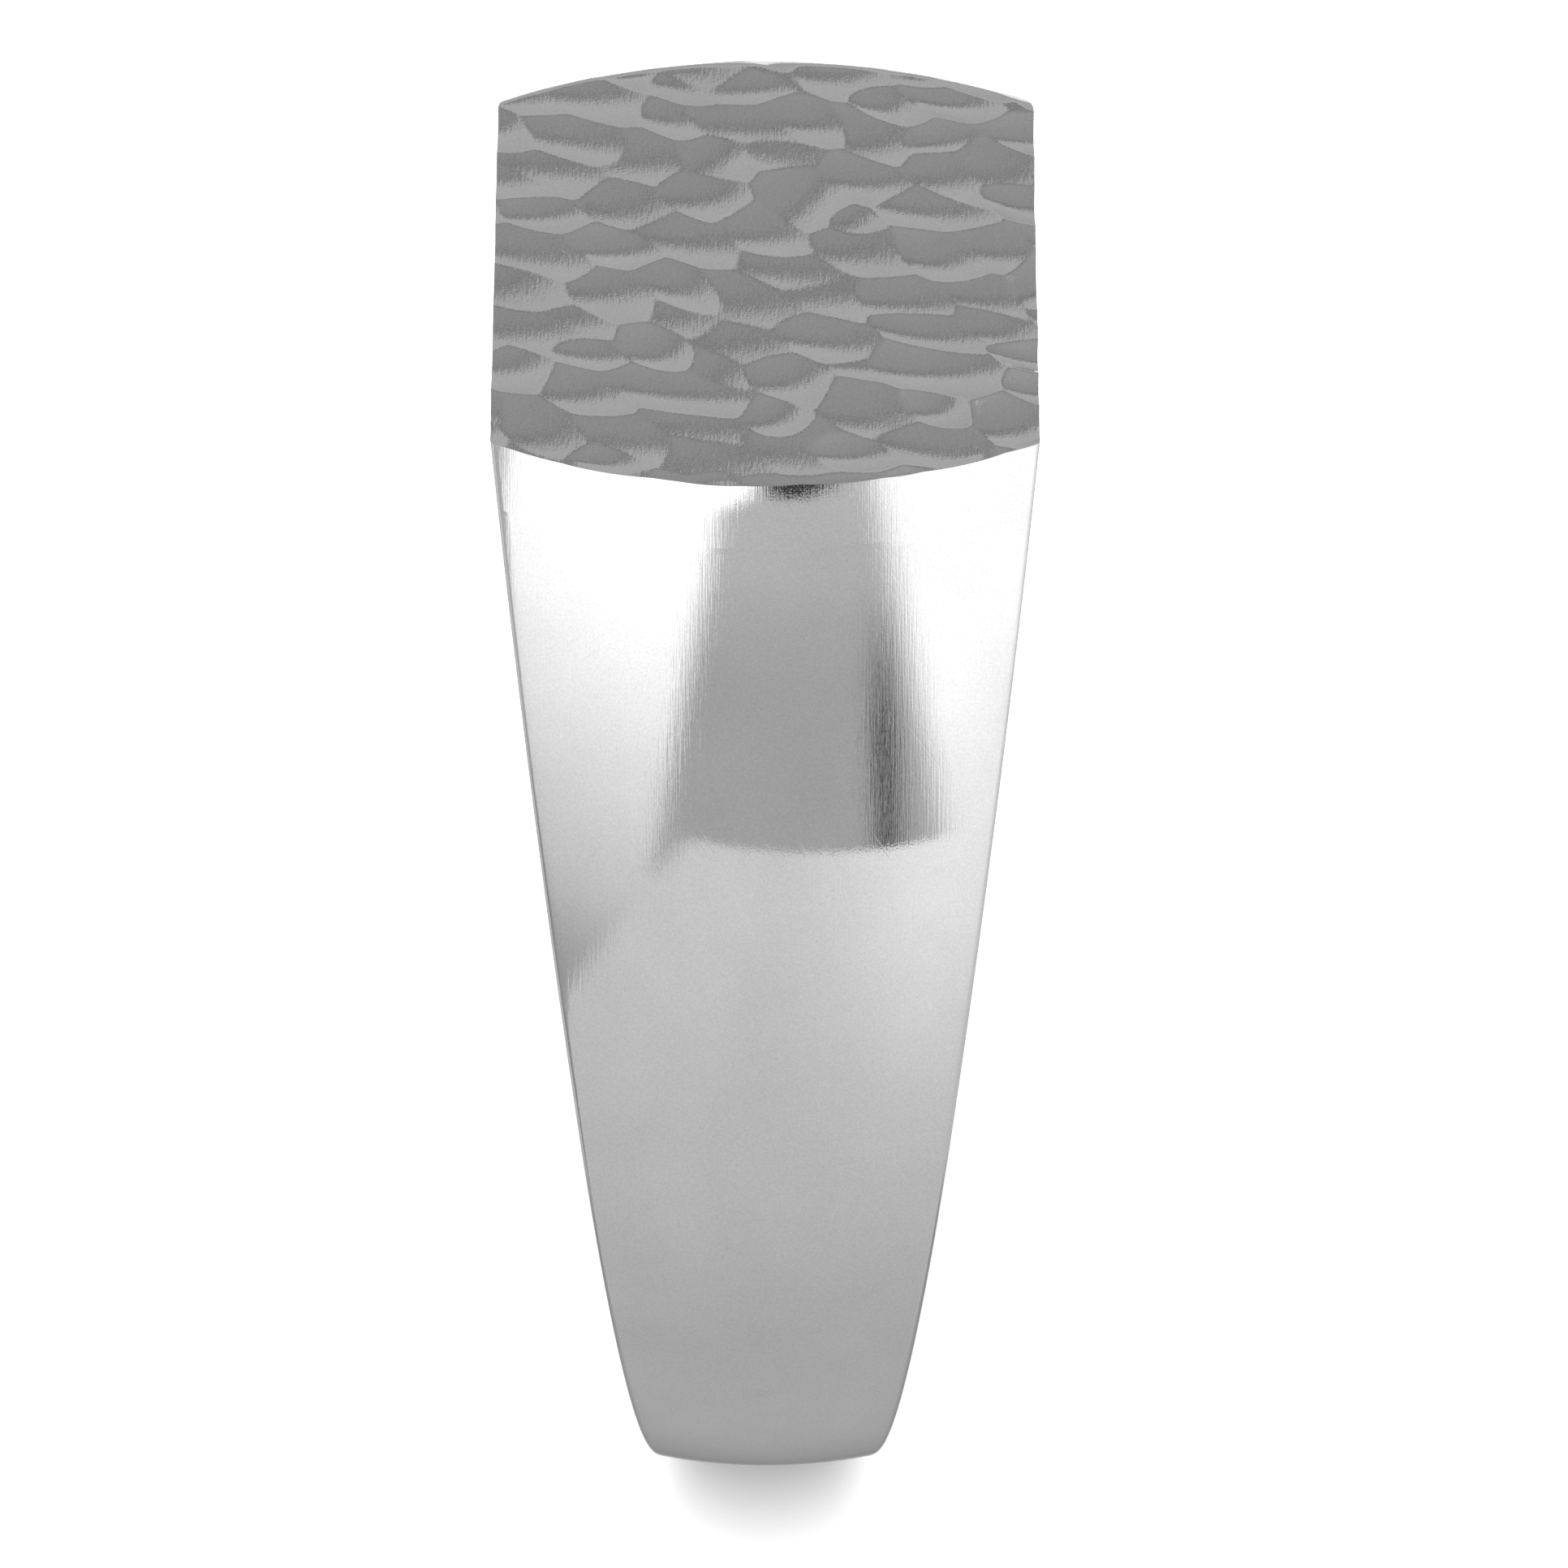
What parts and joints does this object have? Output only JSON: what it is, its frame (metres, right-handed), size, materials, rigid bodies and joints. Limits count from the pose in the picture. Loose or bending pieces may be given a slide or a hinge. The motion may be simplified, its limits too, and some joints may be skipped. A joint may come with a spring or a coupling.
{
  "type": "signet ring",
  "caption": "Signet ring with a flat hammered cushion-shaped table, solid tapering shoulders and a domed shank that narrows to the back.",
  "frame": {"origin": "centre of the finger bore, midway between the ring's two flat sides", "axes": "+X along the finger bore, +Z from the bore to the hammered table, +Y across the table"},
  "size_m": [0.01, 0.0232, 0.0239],
  "materials": {
    "body_metal": "satin",
    "hammered_metal": "satin",
    "solder": "satin"
  },
  "bodies": {
    "root": {"ring_body": "body_metal", "table_plate": "hammered_metal", "table_solder": "solder", "shank_solder": "solder"}
  },
  "joints": []
}
